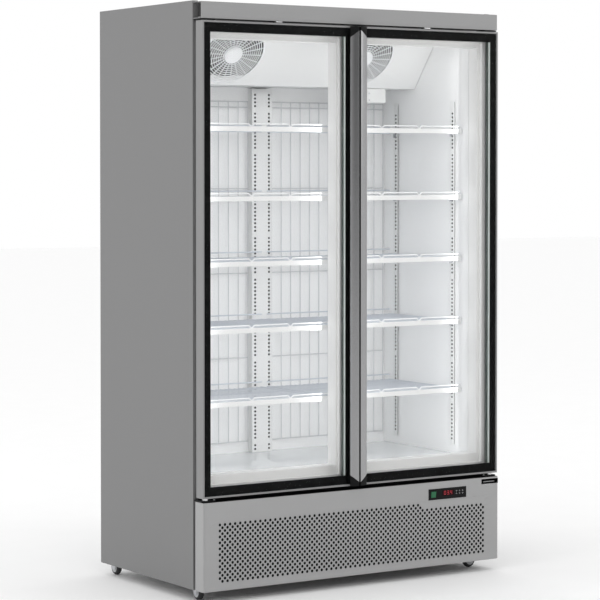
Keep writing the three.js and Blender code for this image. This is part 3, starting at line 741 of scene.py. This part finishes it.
def rear_upright():
    low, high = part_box("upright_rear_centre")
    z_lines, in_slot = slots(low.z, high.z)
    edges = [c + end * SLOT_W / 2 for c in REAR_SLOTS_X for end in (-1, 1)]
    x_lines = sorted([low.x, high.x, *edges])

    def is_open(x, z):
        return in_slot(z) and any(abs(x - c) < SLOT_W / 2 for c in REAR_SLOTS_X)

    shape = Shape().sheet(x_lines, z_lines, is_open, lambda x, z: (x, low.y, z), -CHANNEL_SHEET)
    for _, side in SIDES:
        x0, x1 = span(side, high.x - CHANNEL_SHEET, high.x)
        shape.box((x0, low.y + CHANNEL_SHEET, low.z), (x1, high.y, high.z))
    shape.piece("rear_upright_channel", white_metal, "root", "white_metal", smooth=30,
                replaces=["upright_rear_centre"])
    Shape().box((low.x + 6 * MM, low.y + 5 * MM, low.z), (high.x - 6 * MM, low.y + 6 * MM, high.z)) \
        .piece("rear_upright_shadow", plastic, "root", "black_plastic")


def wall_standards():
    for name, side in SIDES:
        for where in ("front", "rear"):
            node = f"standard_{name}_{where}"
            low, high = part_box(node)
            z_lines, in_slot = slots(low.z, high.z)
            middle = (low.y + high.y) / 2
            face = low.x if side > 0 else high.x
            y_lines = [low.y, middle - WALL_SLOT_W / 2, middle + WALL_SLOT_W / 2, high.y]

            def is_open(y, z, middle=middle, in_slot=in_slot):
                return in_slot(z) and abs(y - middle) < WALL_SLOT_W / 2

            def place(y, z, face=face):
                return face, y, z

            Shape().sheet(y_lines, z_lines, is_open, place, side * WALL_SHEET) \
                .piece(f"wall_strip_{name}_{where}", white_metal, "root", "white_metal", replaces=[node])
            inner = sorted((face + side * 2.6 * MM, face + side * 3.4 * MM))
            Shape().box((inner[0], low.y + 3 * MM, low.z + 4 * MM),
                        (inner[1], high.y - 3 * MM, high.z - 4 * MM)) \
                .piece(f"wall_strip_shadow_{name}_{where}", plastic, "root", "black_plastic")
    finish_cad("upright_front_centre", white_metal, 1 * MM)


def wire_guards():
    for name, _ in SIDES:
        node = f"wire_guard_{name}"
        low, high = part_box(node)
        y = (low.y + high.y) / 2
        shape = Shape()
        count = round((high.x - low.x) / GUARD_PITCH)
        for i in range(count + 1):
            x = low.x + 2 * MM + i * (high.x - low.x - 4 * MM) / count
            shape.wire([(x, y, low.z), (x, y, high.z)], GUARD_WIRE_R[0])
        steps = [low.z + GUARD_STEP * (i + 1) for i in range(GUARD_LEVELS)]
        for z in [low.z + 2 * MM, *steps, high.z - 22 * MM, high.z - 2 * MM]:
            shape.wire([(low.x, y + 2.5 * MM, z), (high.x, y + 2.5 * MM, z)], GUARD_WIRE_R[1])
        shape.piece(f"back_guard_{name}", guard_wire_painted_shade, "root", "white_wire", smooth=40, replaces=[node])


def wire_shelf(name, index):
    node = f"shelf_{name}_{index}"
    low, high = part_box(node)
    deck = high.z - DECK_DROP
    front = Shape()
    front.box((low.x, low.y, low.z), (high.x, low.y + STRIP_T, high.z - STRIP_DROP))
    front.box((low.x, low.y + STRIP_T, low.z), (high.x, low.y + STRIP_LIP, low.z + STRIP_T / 2))
    front.piece(f"price_strip_{name}_{index}", white_metal, "root", "white_wire", bevel=0.5 * MM,
                replaces=[node])
    shape = Shape()
    inside = high.x - low.x - 2 * RAIL_R
    count = round(inside / SHELF_WIRE_PITCH)
    for i in range(1, count):
        x = low.x + RAIL_R + i * inside / count
        shape.wire([(x, low.y + STRIP_T, deck), (x, high.y - RAIL_R, deck)], WIRE_R, 5)
    for share in CROSS_RAILS:
        y = low.y + STRIP_T + RAIL_R + share * (high.y - low.y - STRIP_T - 2 * RAIL_R)
        below = deck - WIRE_R - RAIL_R * 0.8
        shape.wire([(low.x, y, below), (high.x, y, below)], RAIL_R)
    for x in (low.x + RAIL_R, high.x - RAIL_R):
        shape.wire([(x, low.y + STRIP_T, deck), (x, high.y, deck)], RAIL_R)
    back_rail = deck + 18 * MM
    shape.wire([(low.x, high.y - RAIL_R, back_rail), (high.x, high.y - RAIL_R, back_rail)], RAIL_R)
    shape.piece(f"deck_{name}_{index}", deck_wire_painted_shade, "root", "white_wire", smooth=40)
    stop_wire(name, index, low, high)


def stop_wire(name, index, low, high):
    """The product stop: a wire over the front strip that dips to it in two places."""
    y = low.y + STOP_R
    top = high.z + STOP_RISE
    base = high.z - STRIP_DROP
    points = [(low.x + 3 * MM, y, base), (low.x + 8 * MM, y, top)]
    for x in DIPS[name]:
        points += [(x - DIP_RUN, y, top), (x - DIP_FLAT, y, base),
                   (x + DIP_FLAT, y, base), (x + DIP_RUN, y, top)]
    points += [(high.x - 8 * MM, y, top), (high.x - 3 * MM, y, base)]
    Shape().wire(points, STOP_R, 8) \
        .piece(f"stop_wire_{name}_{index}", white_wire, "root", "white_wire", smooth=50)


def shelf_clips():
    """Small brackets that hook in the wall standards and carry the shelf corners."""
    for name, side in SIDES:
        shape = Shape()
        for index in SHELVES:
            shelf_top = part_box(f"shelf_{name}_{index}")[1].z
            for where in ("front", "rear"):
                strip_low, strip_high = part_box(f"standard_{name}_{where}")
                middle = (strip_low.y + strip_high.y) / 2
                face = strip_low.x if side > 0 else strip_high.x
                reach, half, tall = CLIP
                x = sorted((face - side * 0.3 * MM, face - side * reach))
                z = shelf_top - 8 * MM - WIRE_R - 2 * RAIL_R
                shape.box((x[0], middle - half, z - tall), (x[1], middle + half, z - 0.5 * MM))
        shape.piece(f"shelf_clips_{name}", zinc, "root", "zinc_steel", bevel=0.4 * MM)


# ---------------------------------------------------------------- evaporator and fans

def slope_matrix(side):
    """Maps a fan's own frame, +Z out of the sloping cover, to the part's frame, from the fan joint."""
    name = "left" if side < 0 else "right"
    joint = next(j for j in frame["joints"] if j["name"] == f"evaporator_fan_{name}_spin")
    out = Vector(joint["axis"]).normalized()
    across = Vector((1, 0, 0))
    up = out.cross(across)
    turn = Matrix((across, up, out)).transposed().to_4x4()
    return Matrix.Translation(joint["pos_m"]) @ turn


def ring_guard(place):
    """Rings on spokes, slightly domed, with a flat rim and a round cap in the middle."""
    shape = Shape()
    back, front = GUARD_Z
    for i in range(GUARD_RINGS):
        inner = FIRST_RING_R + RING_PITCH * i
        outer = inner + RING_W
        lift = GUARD_DOME * math.cos(i / GUARD_RINGS * math.pi / 2)
        profile = [(inner, back + lift), (outer, back + lift), (outer, front + lift), (inner, front + lift)]
        shape.turned(profile, 48, place)
    low_r, high_r = RIM_R
    rim = [(low_r, back), (high_r, back), (high_r, front - 1.5 * MM), (low_r, front + 0.6 * MM)]
    shape.turned(rim, 64, place)
    for i in range(SPOKES):
        turn = place @ Matrix.Rotation(2 * math.pi * i / SPOKES, 4, "Z")
        shape.box((SPOKE_R[0], -SPOKE_HALF, back), (SPOKE_R[1], SPOKE_HALF, front), turn)
    cap = front + GUARD_DOME
    shape.disc(GUARD_CAP_R[0], back, cap, 40, place)
    shape.disc(GUARD_CAP_R[1], cap, cap + 2 * MM, 40, place)
    return shape


def fan_guards():
    finish_cad("evaporator_cover", white_metal, 0.6 * MM)
    finish_cad("evaporator_coil", fins)
    for name, side in SIDES:
        place = slope_matrix(side)
        finish_cad(f"fan_blade_{name}", plastic, 0.4 * MM)
        ring_guard(place) \
            .piece(f"ring_guard_{name}", white_wire, "root", "white_wire", smooth=30,
                   replaces=[f"fan_guard_{name}"])
        Shape().disc(SHADOW_R, 0.05 * MM, 0.45 * MM, 48, place) \
            .piece(f"fan_shadow_{name}", foam, "root", "black_plastic")
        Shape().disc(MOTOR_R, -MOTOR_DEPTH, 0.02 * MM, 32, place) \
            .piece(f"fan_motor_{name}", plastic, "root", "black_plastic", bevel=1.5 * MM)


def cover_details():
    """The small white box and the screws under the evaporator cover, and the lamp behind the top rail."""
    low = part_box("evaporator_cover")[0]
    Shape().box((SENSOR_X[0], SENSOR_Y[0], low.z - SENSOR_DROP),
                (SENSOR_X[1], SENSOR_Y[1], low.z - 0.5 * MM)) \
        .piece("sensor_box", white_metal, "root", "white_metal", bevel=3 * MM)
    screws = Shape()
    for drop in SENSOR_SCREWS:
        place = Matrix.Translation((SENSOR_SCREW_X, SENSOR_Y[0], low.z - drop)) @ FACE_ON
        screws.disc(3 * MM, 0, 1.6 * MM, 16, place)
    screws.piece("sensor_box_screws", zinc, "root", "zinc_steel", bevel=0.4 * MM)
    lamp_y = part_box("front_frame")[1].y + 2 * MM
    Shape().box((-LAMP_X, lamp_y, LAMP_Z[0]), (LAMP_X, lamp_y + LAMP_DEPTH, LAMP_Z[1])) \
        .piece("interior_lamp", lamp_glow, "root", "white_metal", bevel=4 * MM)


# ---------------------------------------------------------------- controls

SEGMENTS = {"0": "abcdef", "3": "abcdg", "4": "bcfg"}


def digit(shape, character, x, z, y, width, height):
    """A seven-segment figure with its lower left corner at x, z."""
    t = width * STROKE_SHARE
    bars = {
        "a": (0, height - t, width, height),
        "g": (0, height / 2 - t / 2, width, height / 2 + t / 2),
        "d": (0, 0, width, t), "f": (0, height / 2, t, height), "b": (width - t, height / 2, width, height),
        "e": (0, 0, t, height / 2), "c": (width - t, 0, width, height / 2),
    }
    for segment in SEGMENTS[character]:
        x0, z0, x1, z1 = bars[segment]
        shape.box((x + x0, y, z + z0), (x + x1, y + DIGIT_DEPTH, z + z1))


def control_details():
    finish_cad("control_panel", plastic, 0.5 * MM)
    finish_cad("rocker_switch", rocker_green, 0.8 * MM)
    low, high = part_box("control_panel")
    middle = (low.z + high.z) / 2
    display(low, middle)
    key_marks(low, middle)


def display(low, middle):
    left, right = (low.x + x for x in WINDOW_X)
    Shape().box((left, low.y - WINDOW_PROUD, middle + WINDOW_Z[0]), (right, low.y, middle + WINDOW_Z[1])) \
        .piece("display_window", display_glass, "root", "black_plastic", bevel=0.3 * MM)
    shape = Shape()
    y = low.y - DIGIT_PROUD
    z = middle + DIGIT_AT[1]
    for i, character in enumerate(DIGITS):
        digit(shape, character, left + DIGIT_AT[0] + DIGIT_PITCH * i, z, y, *DIGIT_SIZE)
    shape.box((left + POINT_X[0], y, z), (left + POINT_X[1], y + DIGIT_DEPTH, z + POINT_H))
    shape.piece("display_digits", digit_red, "root", "black_plastic")


def key_marks(low, middle):
    """A small cross on each membrane key."""
    shape = Shape()
    y = low.y - KEY_PROUD
    side_arm = (KEY_SIZE - KEY_STROKE) / 2
    for i in range(KEYS[0]):
        for j in range(KEYS[1]):
            x = low.x + KEY_AT[0] + KEY_PITCH[0] * i
            z = middle + KEY_AT[1] + KEY_PITCH[1] * j
            shape.box((x, y, z), (x + KEY_SIZE, low.y, z + KEY_STROKE))
            shape.box((x + side_arm, y, z - KEY_ARM),
                      (x + side_arm + KEY_STROKE, low.y, z + KEY_STROKE + KEY_ARM))
    shape.piece("key_symbols", key_grey, "root", "zinc_steel", bevel=0.1 * MM)


# ---------------------------------------------------------------- machine compartment and castors

def machinery():
    finish_cad("compressor", compressor_black, 1.5 * MM)
    finish_cad("condenser", fins)
    finish_cad("condenser_fan_blade", plastic, 0.4 * MM)
    low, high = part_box("compressor")
    x, y = (low.x + high.x) / 2, (low.y + high.y) / 2
    coil_low, coil_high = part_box("condenser")
    coil_y = coil_low.y + 30 * MM
    liquid_z = low.z + 60 * MM
    liquid = [(x - 60 * MM, y - 50 * MM, low.z + 90 * MM), (x - 110 * MM, y - 60 * MM, low.z + 90 * MM),
              (x - 130 * MM, y - 90 * MM, liquid_z), (x - 130 * MM, coil_y, liquid_z),
              (coil_high.x - 2 * MM, coil_y, liquid_z)]
    suction = [(x, y + 70 * MM, low.z + 110 * MM), (x - 20 * MM, y + 110 * MM, low.z + 120 * MM),
               (x - 40 * MM, y + 120 * MM, low.z + 160 * MM), (x - 40 * MM, y + 120 * MM, 330 * MM)]
    pipes = Shape()
    pipes.wire(liquid, 4 * MM, 12)
    pipes.wire(suction, 5 * MM, 12)
    pipes.piece("copper_pipes", copper, "root", "coil_aluminium", smooth=60)


def castor_hubs():
    for name in CASTORS:
        finish_cad(f"castor_fork_{name}", zinc, 0.6 * MM)
        finish_cad(f"castor_wheel_{name}", tyre, 1.2 * MM)
        joint = next(j for j in frame["joints"] if j["name"] == f"wheel_{name}_spin")
        axis = Vector(joint["axis"])
        place = Matrix.Translation(joint["pos_m"]) @ axis.to_track_quat("Z", "Y").to_matrix().to_4x4()
        shape = Shape()
        for end in (-1, 1):
            zs = sorted((end * (WHEEL_HALF + 0.05 * MM), end * (WHEEL_HALF + 0.9 * MM)))
            shape.disc(HUB_R, *zs, 32, place)
        shape.piece(f"wheel_hub_{name}", hub_grey, f"wheel_{name}", "zinc_steel", bevel=0.4 * MM)


# ---------------------------------------------------------------- stage

CAMERA_AT = (-4.3104, -6.5742, 1.3945)
CAMERA_HEADING = 33.197           # degrees to the right of +Y
CAMERA_TILT = 1.4518
LENS = 136.369
SHIFT_Y = -0.12
SENSOR_WIDTH = 36
CABINET_MIDDLE = (0, 0, 1.0)
ROOM_LIGHTS = (                   # name, place, size, power
    ("key", (4.4, -5.6, 3.4), 3.0, 60),
    ("left_fill", (-5.5, -0.5, 2.5), 4.0, 50),
)
TUBE_Z = 1.11                     # middle height and length of the lights between the shelves
TUBE_LENGTH = 1.44
TUBE_W = 0.05


def add_camera():
    data = bpy.data.cameras.new("camera")
    data.lens = LENS
    data.sensor_width = SENSOR_WIDTH
    data.shift_y = SHIFT_Y
    camera = bpy.data.objects.new("camera", data)
    camera.location = CAMERA_AT
    camera.rotation_euler = (math.radians(90 - CAMERA_TILT), 0, math.radians(-CAMERA_HEADING))
    bpy.context.scene.collection.objects.link(camera)
    bpy.context.scene.camera = camera


def area_light(name, location, target, size, energy, size_y=None):
    data = bpy.data.lights.new(name, "AREA")
    data.energy = energy
    data.size = size
    if size_y:
        data.shape = "RECTANGLE"
        data.size_y = size_y
    light = bpy.data.objects.new(name, data)
    light.location = location
    light.rotation_euler = (Vector(target) - Vector(location)).to_track_quat("-Z", "Y").to_euler()
    bpy.context.scene.collection.objects.link(light)
    return light


def add_lights():
    for name, place, size, power in ROOM_LIGHTS:
        area_light(name, place, CABINET_MIDDLE, size, power)
    z = TUBE_Z
    for name, side in SIDES:
        low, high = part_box(f"shelf_{name}_3")
        x = (low.x + high.x) / 2
        inside = (               # kind, place, target, width, power, length
            ("interior", (x, -0.215, z), (x, 0.3, z), 0.48, 1.15, TUBE_LENGTH),
            ("mullion", (side * 0.06, -0.21, z), (side * 0.55, 0.12, z), TUBE_W, 0.9, TUBE_LENGTH),
            ("side_strip", (side * 0.52, -0.20, z), (side * 0.1, 0.25, z), TUBE_W, 0.8, TUBE_LENGTH),
            ("cover", (x, -0.2, 1.72), (x, 0.03, 1.80), 0.4, 0.06, 0.06),
        )
        for kind, *numbers in inside:
            area_light(f"{kind}_{name}", *numbers).visible_camera = False


MIX_A, MIX_B, MIX_RESULT = 6, 7, 2    # the colour sockets of a Mix node
DARK_TOWARD = (0.14, -0.99, 0.0)      # where the surroundings are dark, for reflections only
DARK_EDGE = (0.84, 0.955)             # cosines at which the darkening starts and is complete
DARK_LEVEL = 0.06


def add_world():
    """Plain white surroundings, with a darker stretch ahead of the doors for the handles to mirror."""
    world = bpy.data.worlds.new("studio")
    bpy.context.scene.world = world
    world.use_nodes = True
    tree = world.node_tree
    background = tree.nodes["Background"]
    coords = tree.nodes.new("ShaderNodeTexCoord")
    toward = tree.nodes.new("ShaderNodeVectorMath")
    toward.operation = "DOT_PRODUCT"
    toward.inputs[1].default_value = DARK_TOWARD
    ramp = tree.nodes.new("ShaderNodeValToRGB")
    ramp.color_ramp.interpolation = "EASE"
    for element, position, level in zip(ramp.color_ramp.elements, DARK_EDGE, (1, DARK_LEVEL)):
        element.position = position
        element.color = (level, level, level, 1)
    path = tree.nodes.new("ShaderNodeLightPath")
    seen = tree.nodes.new("ShaderNodeMix")
    seen.data_type = "RGBA"
    seen.inputs[MIX_B].default_value = (1, 1, 1, 1)
    tree.links.new(coords.outputs["Generated"], toward.inputs[0])
    tree.links.new(toward.outputs["Value"], ramp.inputs["Fac"])
    tree.links.new(path.outputs["Is Camera Ray"], seen.inputs[0])
    tree.links.new(ramp.outputs["Color"], seen.inputs[MIX_A])
    tree.links.new(seen.outputs[MIX_RESULT], background.inputs["Color"])
    background.inputs["Strength"].default_value = 1.0


FLOOR_REACH = 30


def add_floor():
    floor_material = surface("pale_floor", (0.985, 0.985, 0.985), 0.9, spread=0.005, grain=60, bump=0.01)
    data = bpy.data.meshes.new("floor")
    corners = [(x * FLOOR_REACH, y * FLOOR_REACH, 0) for x, y in ((-1, -1), (1, -1), (1, 1), (-1, 1))]
    data.from_pydata(corners, [], [(0, 1, 2, 3)])
    data.materials.append(floor_material)
    floor = bpy.data.objects.new("floor", data)
    bpy.context.scene.collection.objects.link(floor)


def main():
    add_camera()
    dress_cabinet()
    base_cover()
    base_black_strips()
    badge_plate()
    for name, side in SIDES:
        dress_door(name, side)
        door_handle(name, side)
        hinge_details(name, side)
        for index in SHELVES:
            wire_shelf(name, index)
    strike_tabs()
    hinge_screws()
    rear_upright()
    wall_standards()
    wire_guards()
    shelf_clips()
    fan_guards()
    cover_details()
    control_details()
    machinery()
    castor_hubs()
    add_lights()
    add_world()
    add_floor()
    bpy.context.scene.view_settings.view_transform = "Standard"


main()
